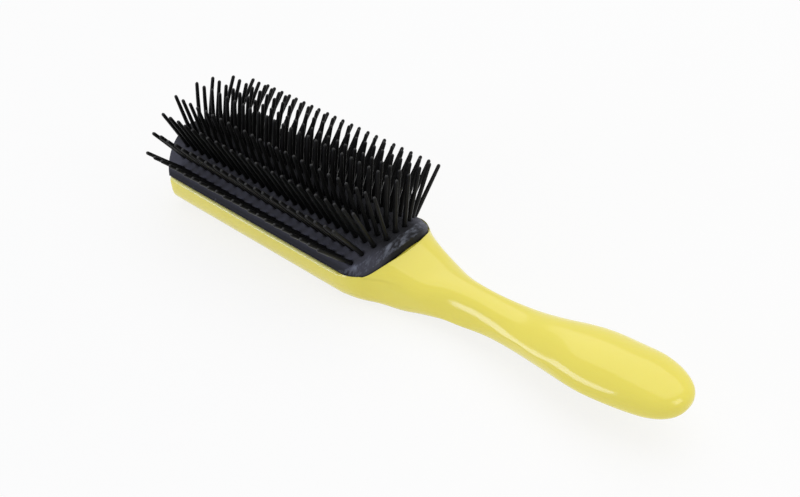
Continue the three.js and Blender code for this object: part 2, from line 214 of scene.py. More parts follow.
def measures(scene):
    """The sizes in millimetres, with the places that follow from them and from the frame."""
    names = BrushSizes.__annotations__
    s = SimpleNamespace(**{name: getattr(scene.brush_sizes, name) / MM for name in names})
    pad_low, pad_high = (np.array(corner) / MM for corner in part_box("cushion_pad"))
    handle_high = np.array(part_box("handle")[1]) / MM
    s.pad_tip_x, s.pad_end_x, s.end_x = pad_low[0], pad_high[0], handle_high[0]
    s.pad_radius = ARCH.pivot + s.pad_wall / 2
    s.pad_inner = ARCH.pivot - s.pad_wall / 2
    s.rim_z = s.head_depth
    s.pad_foot_z = s.rim_z + s.fit_gap
    s.pad_half = math.sqrt(s.pad_radius**2 - (s.pad_foot_z - ARCH.axis_z) ** 2)
    s.head_half = s.pad_half + s.rim_ledge
    s.head_tip_x = s.pad_tip_x + s.tip_overhang
    s.head_start_x = s.pad_tip_x + s.pad_tip_round + s.tip_setback
    s.head_end_x = s.pad_end_x - s.pad_end_round
    s.leg_end_x = s.head_end_x + s.pad_end_round / 4
    s.strip_bottom = s.pad_inner - s.fit_gap - s.strip_thickness
    s.deck_radius = s.strip_bottom - s.fit_gap
    s.leg_out = s.pad_half - s.leg_inset
    s.leg_in = s.leg_out - s.leg_wall
    s.foot_in = s.leg_in - s.foot_width
    s.channel_z = s.rim_z - s.channel_depth
    s.foot_bottom_z = s.channel_z + s.fit_gap
    s.foot_top_z = s.foot_bottom_z + s.foot_thickness
    return s


def smoothstep(t):
    """3 t^2 - 2 t^3, held at 0 and 1 outside the unit range."""
    t = np.clip(t, 0, 1)
    return t * t * (3 - 2 * t)


def lerp(a, b, t):
    """Straight blend from a to b."""
    return a + (b - a) * t


def power(base, exponent):
    """Power of a base held at zero or above, for superellipses."""
    return np.maximum(base, 0) ** exponent


def rounded(t, n):
    """Quarter superellipse (1 - t^n)^(1/n), with t held between 0 and 1."""
    return power(1 - np.clip(t, 0, 1) ** n, 1 / n)


def through(knots, values, x):
    """Monotone cubic through knots, level at both ends: each inner slope is the harmonic mean
    of its neighbours' slopes, or zero where they turn."""
    rise = np.diff(values) / np.diff(knots)
    slope = np.zeros(len(knots))
    before, after = rise[:-1], rise[1:]
    turning = before * after <= 0
    slope[1:-1] = np.where(turning, 0, 2 * before * after / np.where(turning, 1, before + after))
    x = np.clip(x, knots[0], knots[-1])
    i = np.clip(np.searchsorted(knots, x, side="right") - 1, 0, len(knots) - 2)
    span = knots[i + 1] - knots[i]
    t = (x - knots[i]) / span
    step, start, end = values[i + 1] - values[i], slope[i] * span, slope[i + 1] * span
    return values[i] + t * (start + t * (3 * step - 2 * start - end + t * (start + end - 2 * step)))


def blurred(samples, width):
    """Samples averaged with a Gaussian of that many steps, the ends held."""
    reach = int(4 * width)
    weights = np.exp(-0.5 * (np.arange(-reach, reach + 1) / width) ** 2)
    return np.convolve(np.pad(samples, reach, mode="edge"), weights / weights.sum(), "valid")


class HandleForm:
    """Sections of the handle along X: half width, underside, widest line, top and squareness
    pass smoothly through the stations. CROWN and EDGE give the powers of y and of z in the
    upper section, by the distance from the pad's end: the crown is a peak at the pad's end and
    flattest at the neck, and where the edge is below two the widest line is a crease."""

    STEP, BLUR, MARGIN = 0.25, 1.6, 5
    CROWN = (
        (-13.0, 1.75), (6.0, 2.4), (22.0, 2.75), (40.0, 2.8), (50.0, 2.3),
        (60.0, 2.1), (72.0, 2.4), (80.0, 2.4), (90.0, 2.2), (110.0, 2.1),
    )
    EDGE = (
        (-13.0, 1.75), (6.0, 2.4), (16.0, 2.1), (27.0, 1.75), (35.0, 1.3), (40.0, 1.15),
        (57.0, 1.05), (68.0, 1.4), (78.0, 1.6), (88.0, 1.65), (97.0, 2.0), (110.0, 2.1),
    )
    # The head narrows from this many ledges before the pad's round, to a sixth of a ledge
    NARROWING_LEAD, CORNER_PART = 2.5, 6
    PLAIN_STATION = 2
    HEAD_SQUARENESS = 3.2
    TIP_SECTION, TIP_THINNING = 4.2, 0.19
    TIP_BLEND, TIP_BLEND_SHIFT = 12.0, 0.85
    TAIL_SQUARENESS = 2.3
    LAND_SOFTNESS = 0.02

    def __init__(self, s):
        self.s = s
        dome_top = ARCH.axis_z + s.pad_inner - s.fit_gap
        head = (s.head_half, -s.land_cut, s.rim_z, dome_top, self.HEAD_SQUARENESS)
        corner = (s.pad_half + s.rim_ledge / self.CORNER_PART, *head[1:])
        rows = [(s.head_end_x - self.NARROWING_LEAD * s.rim_ledge, *head), (s.leg_end_x, *corner)]
        rows += [(s.pad_end_x + at, *rest) for at, *rest in NECK_STATIONS]
        rows += [(s.end_x + at, *rest) for at, *rest in GRIP_STATIONS]
        table = np.array(rows)
        self.grid = np.arange(s.pad_tip_x - self.MARGIN, s.end_x + self.MARGIN, self.STEP)
        curves = [through(table[:, 0], column, self.grid) for column in table.T[1:]]
        self.curves = [blurred(curve, self.BLUR / self.STEP) for curve in curves]
        self.neck_x = s.pad_end_x + NECK_STATIONS[self.PLAIN_STATION][0]

    def values(self, x):
        """Half width, underside, widest line, top and squareness at x."""
        return [np.interp(x, self.grid, curve) for curve in self.curves]

    def powers(self, table, x):
        """Powers of the upper section at x, from CROWN or EDGE."""
        places, values = np.array(table).T
        return through(self.s.pad_end_x + places, values, x)

    def tip_fullness(self, x):
        """Share of the full width left at the rounded tip, a quarter superellipse in plan."""
        s = self.s
        return rounded((s.head_start_x - x) / (s.head_start_x - s.head_tip_x), PLAN_SQUARENESS)

    def tail_fullness(self, x):
        """Share of the full section left at the rounded end of the handle."""
        return rounded((x - self.s.end_x) / self.s.tail_round + 1, self.TAIL_SQUARENESS)

    def under(self, x, count, wide_from=None):
        """Lower quarter from the bottom centre to just below the side: y = half sin^p and
        z = widest line - depth cos^p, with the flat of the back as a soft floor at zero."""
        half, low, wide, _, square = self.values(x)
        tip, tail = self.tip_fullness(x), self.tail_fullness(x)
        at_tip = smoothstep((self.s.head_start_x - x) / self.TIP_BLEND + self.TIP_BLEND_SHIFT)
        square = lerp(square, self.TIP_SECTION, at_tip)
        deep = 1 - self.TIP_THINNING * (at_tip + (1 - tip) ** 3)
        top = wide if wide_from is None else wide_from
        angle = (np.arange(count) / count) * (math.pi / 2)
        p = 2 / square
        y = half * tip * tail * power(np.sin(angle), p)
        z = top - (top - low) * deep * tail * power(np.cos(angle), p)
        return y, 0.5 * (z + np.sqrt(z**2 + self.LAND_SOFTNESS))

    def over(self, x, phi):
        """Upper quarter: y = half cos^p and z = widest line + rise sin^q."""
        half, _, wide, high, _ = self.values(x)
        tail = self.tail_fullness(x)
        y = half * tail * power(np.cos(phi), 2 / self.powers(self.CROWN, x))
        return y, wide + (high - wide) * tail * power(np.sin(phi), 2 / self.powers(self.EDGE, x))

    def over_angle(self, x, y):
        """The angle at which the upper quarter reaches y."""
        half = self.values(x)[0]
        return np.arccos(np.clip(power(y / half, self.powers(self.CROWN, x) / 2), 0, 1))


def handle_rings(s):
    """Half rings of the handle from the bottom centre, round the side, to the top centre.
    The head has a rim, a ledge and a flat floor; at its end the floor's points follow the pad's
    rounded plan, rise as a wall, and fan out into the plain sections of neck and grip."""
    form = HandleForm(s)
    right_angle = math.pi / 2
    n_under, n_rim, n_ledge, n_floor = 26, 7, 4, 26
    n_edge = n_rim + n_ledge
    tip_rows, straight_rows, morph_rows = 28, 36, 16
    wall_rows, fan_rows, grip_rows, tail_rows = 6, 34, 60, 34
    morph_lead, meet_share = 2.0, 0.47
    tip_growth, tip_reach, tip_fade = 0.8, 4, 6
    least_round, wall_round = 0.1, 0.45
    edge_share = np.arange(n_edge) / (n_edge - 1)
    ledge_share = np.arange(1, n_ledge + 1) / n_ledge
    room_half, room_round = s.pad_half + s.fit_gap, s.pad_end_round + s.end_gap
    meet_x = s.head_end_x + meet_share * s.pad_end_round
    morph_x = s.head_end_x - morph_lead

    def room_side(x):
        """Half width of the pad's room: full, then an ellipse round the pad's end."""
        along = np.clip((x - s.head_end_x) / room_round, 0, 1)
        return room_half * np.sqrt(1 - along**2)

    def room_end(y):
        """Where the pad's room ends at y."""
        return s.head_end_x + room_round * np.sqrt(np.clip(1 - (y / room_half) ** 2, 0, 1))

    def ring(x_under, under, x, y, z):
        """Points of a half ring: its lower quarter at one x, then the rest."""
        low = np.column_stack([np.full(n_under, x_under), *under])
        return np.concatenate([low, np.column_stack(np.broadcast_arrays(x, y, z))])

    turn = power(np.cos(np.linspace(0, right_angle, tip_rows)), 2 / PLAN_SQUARENESS)
    tip = s.head_start_x - (s.head_start_x - s.head_tip_x) * turn
    straight = np.linspace(s.head_start_x, morph_x, straight_rows)[1:]
    morph = np.linspace(morph_x, meet_x, morph_rows)[1:]
    quarter = np.linspace(0, right_angle, n_rim)
    tau = np.linspace(0, right_angle, n_floor)
    wall_line = room_end(room_side(meet_x) * np.cos(tau))
    rings = []
    for x in np.concatenate([tip, straight, morph]):
        full_half, _, wide, _, _ = form.values(x)
        half = full_half * form.tip_fullness(x)
        at_tip = smoothstep((s.head_start_x + tip_reach - x) / tip_fade)
        r = min(s.rim_round * (1 + tip_growth * at_tip), half / 2)
        if x > morph_x:
            r = np.clip(half - room_side(x), least_round, r)
        side = min(room_side(x), half - r)
        share = np.clip((x - morph_x) / (meet_x - morph_x), 0, 1)
        weight = 1 - (1 - share) ** 2
        rim_y = np.concatenate([half - r + r * np.cos(quarter), lerp(half - r, side, ledge_share)])
        rim_z = np.concatenate([s.rim_z - r + r * np.sin(quarter), np.full(n_ledge, s.rim_z)])
        neck_y, neck_z = form.over(x, form.over_angle(x, side) * edge_share)
        floor_x = lerp(min(x, morph_x), wall_line, share)
        rings.append(ring(
            x, form.under(x, n_under, lerp(s.rim_z - r, wide, weight)),
            np.concatenate([np.full(n_edge, x), floor_x]),
            np.concatenate([lerp(rim_y, neck_y, weight), side * np.cos(tau)]),
            np.concatenate([lerp(rim_z, neck_z, weight), np.full(n_floor, s.rim_z)]),
        ))

    # The wall at the pad's end, with a rounded upper edge
    wall_x, wall_y, _ = rings[-1][n_under + n_edge:].T
    under_meet = form.under(meet_x, n_under)
    edge_x = np.full(n_edge, meet_x)
    edge_phi = form.over_angle(meet_x, room_side(meet_x)) * edge_share
    edge_y, edge_z = form.over(meet_x, edge_phi)
    for a in np.linspace(0, right_angle, wall_rows):
        x = wall_x + wall_round * (1 - math.cos(a))
        floor_phi = form.over_angle(x, wall_y)
        y, z = form.over(x, floor_phi)
        z = np.maximum(z - wall_round * (1 - math.sin(a)), s.rim_z)
        rings.append(ring(
            meet_x, under_meet, np.concatenate([edge_x, x]),
            np.concatenate([edge_y, y]), np.concatenate([edge_z, z]),
        ))

    start_x = np.concatenate([edge_x, wall_x + wall_round])
    start_phi = np.concatenate([edge_phi, floor_phi])
    plain_phi = np.linspace(0, right_angle, n_edge + n_floor)
    for f in np.linspace(0, 1, fan_rows)[1:]:
        x_under = lerp(meet_x, form.neck_x, f)
        x = lerp(start_x, form.neck_x, f)
        phi = lerp(start_phi, plain_phi, smoothstep(f))
        rings.append(ring(x_under, form.under(x_under, n_under), x, *form.over(x, phi)))
    tail_x = s.end_x - s.tail_round
    grip = np.linspace(form.neck_x, tail_x, grip_rows)[1:]
    tail = tail_x + s.tail_round * np.sin(np.linspace(0, right_angle, tail_rows)[1:])
    for x in np.concatenate([grip, tail]):
        rings.append(ring(x, form.under(x, n_under), x, *form.over(x, plain_phi)))
    return np.array(rings)


def grid_faces(rows, columns, wrap=False, start=0):
    """Quads of a grid of points numbered row by row, closed across its columns if asked."""
    i = np.arange(rows - 1)[:, None] * columns
    j = np.arange(columns if wrap else columns - 1)
    k = (j + 1) % columns
    quads = np.stack([i + j, i + k, i + columns + k, i + columns + j], -1)
    return quads.reshape(-1, 4) + start


def mesh_from(name, parts, smooth_angle=HARD_ANGLE, wear_and_painted_light=None):
    """One mesh of several parts in millimetres, each a pair of points and faces, with doubled
    points merged, normals outward and edges sharper than the angle kept sharp. The last argument gives
    a value for each of the first points, kept as an attribute of rubbing and of painted light and
    shade."""
    points, faces, count = [], [], 0
    for part_points, part_faces in parts:
        flat = np.asarray(part_points, float).reshape(-1, 3)
        points.append(flat * MM)
        faces += [[int(v) + count for v in face] for face in part_faces]
        count += len(flat)
    mesh = bpy.data.meshes.new(name)
    mesh.from_pydata(np.concatenate(points).tolist(), [], faces)
    if wear_and_painted_light is not None:
        marks = mesh.attributes.new("wear_and_painted_light", "FLOAT", "POINT")
        marks.data.foreach_set("value", np.pad(wear_and_painted_light, (0, count - len(wear_and_painted_light))).astype(np.float32))
    tidy = bmesh.new()
    tidy.from_mesh(mesh)
    bmesh.ops.remove_doubles(tidy, verts=tidy.verts, dist=MERGE_DISTANCE)
    bmesh.ops.dissolve_degenerate(tidy, edges=tidy.edges, dist=THIN_DISTANCE)
    bmesh.ops.recalc_face_normals(tidy, faces=tidy.faces)
    tidy.to_mesh(mesh)
    tidy.free()
    shade(mesh, smooth_angle)
    return mesh


def shade(mesh, smooth_angle):
    """Smooth shading, apart from edges that turn by more than the angle."""
    mesh.polygons.foreach_set("use_smooth", np.ones(len(mesh.polygons), bool))
    mesh.set_sharp_from_angle(angle=math.radians(smooth_angle))
    mesh.update()


def show(name, mesh, material):
    """A new object of the mesh at the origin, with one material."""
    piece = bpy.data.objects.new(name, mesh)
    bpy.context.scene.collection.objects.link(piece)
    mesh.materials.clear()
    mesh.materials.append(material)
    return piece


def prism(outline, x0, x1):
    """A closed prism along X of an outline in Y and Z; x0 and x1 may differ between corners."""
    outline = np.asarray(outline, float)
    n = len(outline)
    ends = [np.column_stack([np.broadcast_to(x, n), outline]) for x in (x0, x1)]
    faces = grid_faces(2, n, wrap=True).tolist()
    return np.concatenate(ends), [*faces, list(range(n))[::-1], list(range(n, 2 * n))]


def mirrored(part):
    """A part reflected in the XZ plane."""
    points, faces = part
    return np.asarray(points) * (1, -1, 1), [list(face)[::-1] for face in faces]


def lid(top, bottom_z):
    """A closed solid under a grid of top points, down to a level."""
    rows, columns = top.shape[:2]
    low = top.copy()
    low[..., 2] = bottom_z
    edge = boundary(rows, columns)
    after = np.roll(edge, -1)
    count = rows * columns
    skirt = np.stack([edge, after, after + count, edge + count], -1)
    under = grid_faces(rows, columns, start=count)[:, ::-1]
    faces = np.concatenate([grid_faces(rows, columns), under, skirt])
    return np.concatenate([top.reshape(-1, 3), low.reshape(-1, 3)]), faces


def boundary(rows, columns):
    """Numbers of a grid's edge points, once round."""
    numbers = np.arange(rows * columns).reshape(rows, columns)
    return np.concatenate([numbers[0], numbers[1:, -1], numbers[-1, -2::-1], numbers[-2:0:-1, 0]])


def arch(radius, angle):
    """Y and Z on the arch at an angle from its top."""
    return radius * np.sin(angle), ARCH.axis_z + radius * np.cos(angle)


def carve(mesh, cutter_parts, smooth_angle):
    """The mesh with the cutters taken away."""
    scene = bpy.context.scene
    body = bpy.data.objects.new("body", mesh)
    cutter = bpy.data.objects.new("cutter", mesh_from("cutter", cutter_parts))
    for item in (body, cutter):
        scene.collection.objects.link(item)
    cut = body.modifiers.new("channels", "BOOLEAN")
    cut.operation, cut.solver, cut.object = "DIFFERENCE", "EXACT", cutter
    evaluated = body.evaluated_get(bpy.context.evaluated_depsgraph_get())
    result = bpy.data.meshes.new_from_object(evaluated)
    for item in (body, cutter):
        spare = item.data
        bpy.data.objects.remove(item)
        bpy.data.meshes.remove(spare)
    shade(result, smooth_angle)
    return result


def handle_mesh(s):
    """The handle: its ringed body with two channels cut in the head, and the raised deck."""
    half = handle_rings(s)
    full = np.concatenate([half, half[:, -2:0:-1] * (1, -1, 1)], axis=1)
    rows, columns = full.shape[:2]
    body = mesh_from("handle_body", [(full, grid_faces(rows, columns, wrap=True))])

    overlap, past_tip = 1, 9
    deck_half = s.leg_in - s.fit_gap
    stem_half = s.foot_in - s.fit_gap
    flange_z = s.foot_top_z + s.fit_gap
    deck_edge_z = ARCH.axis_z + math.sqrt(s.deck_radius**2 - deck_half**2)
    deck_meet = math.sqrt(s.deck_radius**2 - (s.rim_z - ARCH.axis_z) ** 2)
    above = s.rim_z + overlap
    outer_half = s.leg_out + s.fit_gap
    outline = [
        (outer_half, above), (outer_half, s.channel_z), (stem_half, s.channel_z),
        (stem_half, flange_z), (deck_half, flange_z), (deck_half, deck_edge_z), (deck_meet, above),
    ]
    channel = prism(outline, s.pad_tip_x - past_tip, s.leg_end_x + s.fit_gap)
    body = carve(body, [channel, mirrored(channel)], HARD_ANGLE)

    deck_rows, deck_columns, tip_gaps = 30, 41, 3
    across = np.linspace(-1, 1, deck_columns)
    y, z = arch(s.deck_radius, across * math.asin(deck_meet / s.deck_radius))
    bow = 1 - np.sqrt(1 - (y / s.leg_in) ** 2)
    room_bow = 1 - np.sqrt(1 - (y / (s.pad_half + s.fit_gap)) ** 2)
    start = s.pad_tip_x + s.pad_wall + tip_gaps * s.fit_gap + (s.pad_end_round - s.pad_wall) * bow
    end = s.pad_end_x + s.end_gap + s.fit_gap - s.pad_end_round * room_bow
    along = np.linspace(0, 1, deck_rows)[:, None]
    top = np.stack(np.broadcast_arrays(lerp(start, end, along), y, z), -1)
    deck = mesh_from("deck", [lid(top, s.rim_z - overlap)])
    return joined(body, deck)


def joined(mesh, other):
    """The first mesh with the second added to it."""
    tidy = bmesh.new()
    tidy.from_mesh(mesh)
    tidy.from_mesh(other)
    tidy.to_mesh(mesh)
    tidy.free()
    bpy.data.meshes.remove(other)
    mesh.update()
    return mesh


def pin_places(count, s):
    """X of a row's pins."""
    return ARCH.mid_x + (np.arange(count) - (count - 1) / 2) * s.pin_pitch


def rubbed_spots(points):
    """Wear of the rubbed spots at the points: a sum of Gaussian ovals in plan."""
    x, y = points[..., 0], points[..., 1]
    ovals = [
        gain * np.exp(-(((x - cx) / rx) ** 2) - ((y - cy) / ry) ** 2)
        for cx, cy, rx, ry, gain in SCUFFS
    ]
    return np.sum(ovals, axis=0)


def pad_mesh(s):
    """The rubber pad: an arched shell with rounded edges, a socket round every pin, a wall at
    the tip, an open end at the handle, and a leg with a foot along each side. Its marks of rubbing
    fall off as an exponential from the ends and sides and are 0 inside; its outer walls get -1, a mark
    of painted shade."""
    cells, lines, edge_steps = 12, 121, 9
    side_share, side_drop, least_wall = 0.35, 0.6, 0.1
    corner_gain, corner_power = 0.8, 8
    slope_squareness, slope_fade = 1.1, 1.5
    socket_edge, socket_clean = 0.5, 0.3
    end_fade, side_fade, tip_fade = 1.6, 1.6, 3.0
    # The walls get -1, a mark of painted shade that darkens the rubber
    side_wear, tip_wear, wall_painted_shade = 0.55, 0.5, -1.0
    leg_overlap, leg_setback, plan_samples = 0.6, 0.5, 200

    step = s.pin_pitch / cells
    first = math.ceil((ARCH.mid_x - s.pad_tip_x) / step)
    last = math.ceil((s.pad_end_x - ARCH.mid_x) / step)
    nominal = ARCH.mid_x + np.arange(-first, last + 1) * step
    r = s.pad_edge_round
    edge_angle = math.asin((s.pad_half - side_share * r) / s.pad_radius)
    angle = np.linspace(-1, 1, lines) * edge_angle
    y, _ = arch(s.pad_radius, angle)

    def bow(half, squareness):
        """How far a rounded end falls back at y, as a share of its length."""
        return 1 - rounded(np.abs(y / half), squareness)

    def spread(x0, x1):
        """The nominal X lines, drawn in at both ends to start at x0 and stop at x1."""
        reach = 2 * s.pad_end_round
        at_tip = 1 - np.clip((nominal - nominal[0]) / reach, 0, 1)[:, None]
        at_end = 1 - np.clip((nominal[-1] - nominal) / reach, 0, 1)[:, None]
        return nominal[:, None] + (x0 - nominal[0]) * at_tip + (x1 - nominal[-1]) * at_end

    def under_arch(radius):
        """Height of an arch at y, held above the pad's foot."""
        return np.maximum(ARCH.axis_z + np.sqrt(np.maximum(radius**2 - y**2, 0)), s.pad_foot_z)

    tip_x = s.pad_tip_x + s.pad_tip_round * bow(s.pad_half, PLAN_SQUARENESS)
    end_x = s.pad_end_x - s.pad_end_round * bow(s.pad_half, 2)
    bevel = s.pad_bevel_run * (1 + corner_gain * (y / s.pad_half) ** corner_power)
    x = spread(tip_x + r, end_x - bevel)
    radius = np.full(x.shape, s.pad_radius)
    for row_angle, count in zip(ARCH.angles, PIN_COUNTS):
        places = pin_places(count, s)
        k = np.clip(np.round((x - places[0]) / s.pin_pitch), 0, count - 1)
        off = np.hypot(x - places[0] - k * s.pin_pitch, s.pad_radius * (angle - row_angle))
        radius -= s.socket_depth * smoothstep((s.socket_radius + socket_edge / 2 - off) / socket_edge)
    outer = np.stack([x, radius * np.sin(angle), ARCH.axis_z + radius * np.cos(angle)], -1)
    to_side = s.pad_radius * (edge_angle - np.abs(angle))
    wear_and_painted_light = np.maximum(np.exp((x - end_x + bevel) / end_fade), side_wear * np.exp(-to_side / side_fade))
    wear_and_painted_light = np.maximum(wear_and_painted_light, tip_wear * np.exp((tip_x - x) / tip_fade))
    wear_and_painted_light = wear_and_painted_light * smoothstep((radius - s.pad_radius) / socket_clean + 1) + rubbed_spots(outer)

    inner_bow = bow(s.pad_half - s.pad_wall, PLAN_SQUARENESS)
    inner_tip = s.pad_tip_x + s.pad_wall + s.pad_tip_round * inner_bow
    inner_x = spread(inner_tip, end_x - s.pad_lip)
    inner = np.stack(np.broadcast_arrays(inner_x, y, under_arch(s.pad_inner)), -1)
    lip_z = under_arch(s.deck_radius + s.fit_gap)

    # Loops from the outer skin's edge to the inner one's: a rounded edge, then the wall
    rows, columns = x.shape
    edge = boundary(rows, columns)
    rim, inner_rim = (skin.reshape(-1, 3)[edge] for skin in (outer, inner))
    row_of, column_of = np.divmod(edge, columns)
    at_tip, at_end = row_of == 0, row_of == rows - 1
    side = np.where(column_of == 0, -1.0, np.where(column_of == columns - 1, 1.0, 0.0))
    edge_bevel = bevel[column_of]
    push_x = np.where(at_tip, -r, np.where(at_end, edge_bevel, 0.0))
    near_end = np.exp((rim[:, 0] - end_x[column_of] + edge_bevel) / slope_fade)
    near_end = np.where(at_end, 1.0, np.where(side != 0, near_end, 0.0))
    drop = lerp(np.where(side != 0, side_drop * r, r), s.pad_bevel_drop, near_end)
    exponent = 2 / lerp(2.0, slope_squareness, near_end)
    loops = [rim]
    for turn in np.linspace(0, math.pi / 2, edge_steps)[1:]:
        loop = rim.copy()
        loop[:, 0] += push_x * power(math.sin(turn), exponent)
        loop[:, 1] += side * side_share * r * math.sin(turn)
        loop[:, 2] -= drop * (1 - power(math.cos(turn), exponent))
        loop[:, 2] = np.maximum(loop[:, 2], s.pad_foot_z + least_wall)
        loops.append(loop)
    rim_wear = wear_and_painted_light.ravel()[edge] - rubbed_spots(rim)
    loop_wear = [rim_wear + rubbed_spots(loop) for loop in loops]
    wall, under = loops[-1].copy(), inner_rim.copy()
    wall[:, 2] = np.where(at_end & (side == 0), lip_z[column_of], s.pad_foot_z)
    under[:, 2] = wall[:, 2]
    walls = [wall, under, inner_rim]
    count, n = rows * columns, len(edge)
    on_walls = np.full(n * len(walls), wall_painted_shade)
    wear_and_painted_light = np.concatenate([wear_and_painted_light.ravel(), np.zeros(count), *loop_wear, on_walls])
    loops += walls
    points = [outer.reshape(-1, 3), inner.reshape(-1, 3), *loops]
    faces = [grid_faces(rows, columns), grid_faces(rows, columns, start=count)[:, ::-1]]
    band = grid_faces(2, n, wrap=True)[:, ::-1] + 2 * count
    faces += [band + n * i for i in range(len(loops) - 1)]

    leg_top = s.pad_foot_z + leg_overlap
    outline = [
        (s.leg_out, leg_top), (s.leg_out, s.foot_bottom_z), (s.foot_in, s.foot_bottom_z),
        (s.foot_in, s.foot_top_z), (s.leg_in, s.foot_top_z), (s.leg_in, leg_top),
    ]
    plan_x = np.linspace(s.head_tip_x, s.head_start_x, plan_samples)
    plan_half = HandleForm(s).tip_fullness(plan_x) * s.head_half
    tips = np.interp([corner[0] for corner in outline], plan_half, plan_x)
    leg = prism(outline, tips + leg_setback, s.leg_end_x)
    shell = (np.concatenate(points), np.concatenate(faces))
    return mesh_from("rubber_pad", [shell, leg, mirrored(leg)], SOFT_ANGLE, wear_and_painted_light)


def pin_row_mesh(row, s):
    """A row of pins on its bar. A pin is a ring carried along its axis: the radius tapers from
    root to tip and closes in a rounded point, and the axis leans as a power of the height."""
    sides, point, lean_power = 8, 0.75, 1.4
    count, angle = PIN_COUNTS[row], ARCH.angles[row]
    out = np.array((0, math.sin(angle), math.cos(angle)))
    across = np.array((0, math.cos(angle), -math.sin(angle)))
    base = lerp(s.strip_bottom, s.strip_bottom + s.strip_thickness, 0.6)
    tip = s.pad_radius + s.pin_reach
    # Rings of a pin: height, share of the tapered radius, and a painted highlight that makes the tip
    # paler
    height, closing, rubbed_and_highlit = np.array([
        (base, 1, 0),
        (s.pad_radius, 1, 0),
        (lerp(s.pad_radius, tip, 0.35), 1, 0),
        (lerp(s.pad_radius, tip, 0.7), 1, 0),
        (tip - point, 1, 0),
        (tip - 0.6 * point, 0.9, 0.1),
        (tip - 0.22 * point, 0.6, 0.8),
        (tip, 0, 1),
    ]).T
    taper = lerp(s.pin_root, s.pin_tip, np.clip((height - base) / (tip - point - base), 0, 1)) / 2
    radius = (taper * closing)[:, None]
    lift = np.clip((height - s.pad_radius) / s.pin_reach, 0, 1) ** lean_power
    turn = np.arange(sides) * (2 * math.pi / sides)

    places = pin_places(count, s)
    order, position = np.arange(count), np.linspace(-1, 1, count)
    wobble = np.sin(order * WOBBLE_BY_PIN + row * WOBBLE_BY_ROW)
    lost_along, lost_across = (1 - loss * position**2 for loss in LEAN_LOSS)
    tip_x = LEAN_ALONG[row] * lost_along + WOBBLE_ALONG * wobble
    tip_across = LEAN_ACROSS[row] * lost_across + WOBBLE_ACROSS * np.roll(wobble, 3)
    tip_across += TIP_FAN[row] * np.exp(-order / FAN_FADE)
    centre_x = places[:, None] + tip_x[:, None] * lift
    centre_across = tip_across[:, None] * lift
    ring_x = centre_x[..., None] + radius * np.cos(turn)
    ring_across = centre_across[..., None] + radius * np.sin(turn)
    points = (0, 0, ARCH.axis_z) + ring_x[..., None] * (1, 0, 0) + ring_across[..., None] * across
    points += height[:, None, None] * out
    one = [*grid_faces(len(height), sides, wrap=True)[:, ::-1].tolist(), list(range(sides))]
    stride = len(height) * sides
    faces = [[v + k * stride for v in face] for k in range(count) for face in one]

    row_step = abs(ARCH.angles[1] - ARCH.angles[0])
    w, chamfer = (s.strip_bottom * row_step - s.strip_gap) / 2, 0.35
    low, high = s.strip_bottom, s.strip_bottom + s.strip_thickness
    flat = np.array([
        (-w, low + chamfer), (-w + chamfer, low), (w - chamfer, low), (w, low + chamfer),
        (w, high - chamfer), (w - chamfer, high), (-w + chamfer, high), (-w, high - chamfer),
    ])
    outline = flat[:, :1] * across[1:] + flat[:, 1:] * out[1:] + (0, ARCH.axis_z)
    bar = prism(outline, places[0] - s.strip_end, places[-1] + s.strip_end)
    # The painted highlight of each ring, kept as a point attribute
    wear_and_painted_light = np.tile(np.repeat(rubbed_and_highlit, sides), count)
    return mesh_from(f"pins_{row + 1}", [(points, faces), bar], SOFT_ANGLE, wear_and_painted_light)


class Value:
    """A socket on which arithmetic adds Math nodes."""

    def __init__(self, graph, socket):
        self.graph, self.socket = graph, socket

    def math(self, operation, *values):
        """A Math node of the values."""
        return self.graph.node("ShaderNodeMath", {"operation": operation}, dict(enumerate(values)))

    def __add__(self, other):
        return self.math("ADD", self, other)

    def __radd__(self, other):
        return self.math("ADD", other, self)

    def __sub__(self, other):
        return self.math("SUBTRACT", self, other)

    def __mul__(self, other):
        return self.math("MULTIPLY", self, other)


